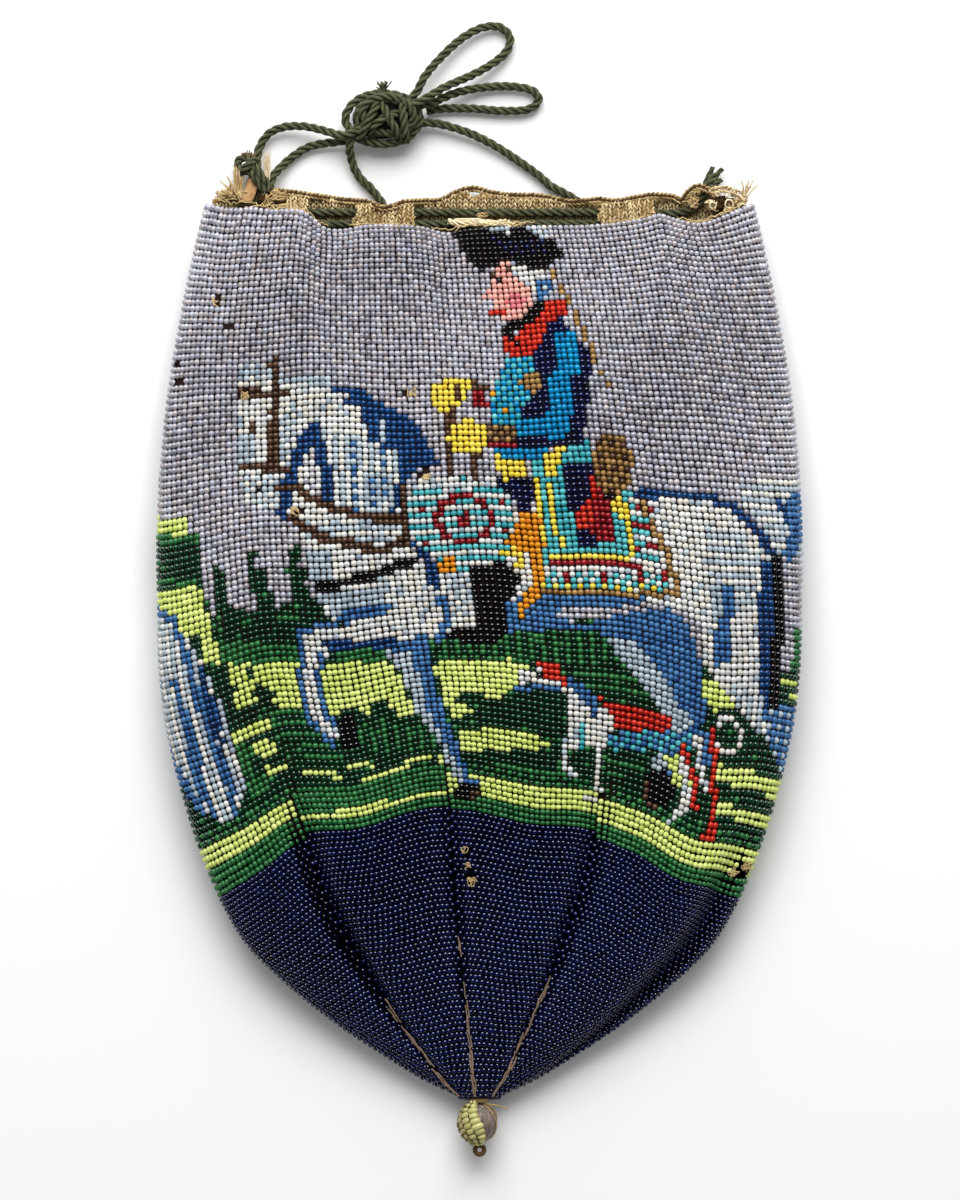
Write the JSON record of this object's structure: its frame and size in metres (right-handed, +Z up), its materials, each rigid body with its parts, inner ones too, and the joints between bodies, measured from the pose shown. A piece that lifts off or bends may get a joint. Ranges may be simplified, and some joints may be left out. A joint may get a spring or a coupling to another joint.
{
  "type": "beaded drawstring pouch",
  "caption": "Flat bead-knitted pouch with a gored base, a small beaded tassel and a knitted heading that a twisted drawstring gathers into a bow.",
  "frame": {"origin": "middle of the flat back that the pouch lies on, halfway between the mouth line and the tip", "axes": "+X to the right across the picture side, +Y from the tassel to the mouth, +Z up out of the picture side"},
  "size_m": [0.14, 0.2462, 0.022],
  "materials": {
    "beadwork": "glossy glass beads on knitted yarn",
    "ecru_yarn": "matt knitted yarn",
    "brown_yarn": "matt crocheted yarn",
    "cord": "matt twisted cord",
    "gold_thread": "dull metal-wrapped thread",
    "mould_wood": "bare turned wood",
    "tassel_beads": "glossy glass beads"
  },
  "bodies": {
    "root": {"beaded_bag": "beadwork", "heading_band": "ecru_yarn", "chain_edge": "brown_yarn", "drawstring_lower_run": "cord", "drawstring_upper_run": "cord", "drawstring_drop_strand": "cord", "drawstring_right_strand": "cord", "bow_loop_long": "cord", "bow_loop_short": "cord", "bow_knot": "cord", "drawstring_end_knot": "cord", "tassel_neck": "gold_thread", "tassel_mould": "mould_wood", "tassel_bead_string_1": "tassel_beads", "tassel_bead_string_2": "tassel_beads", "tassel_bead_string_3": "tassel_beads", "tassel_bead_string_4": "tassel_beads", "tassel_end_loop": "brown_yarn"}
  },
  "joints": []
}
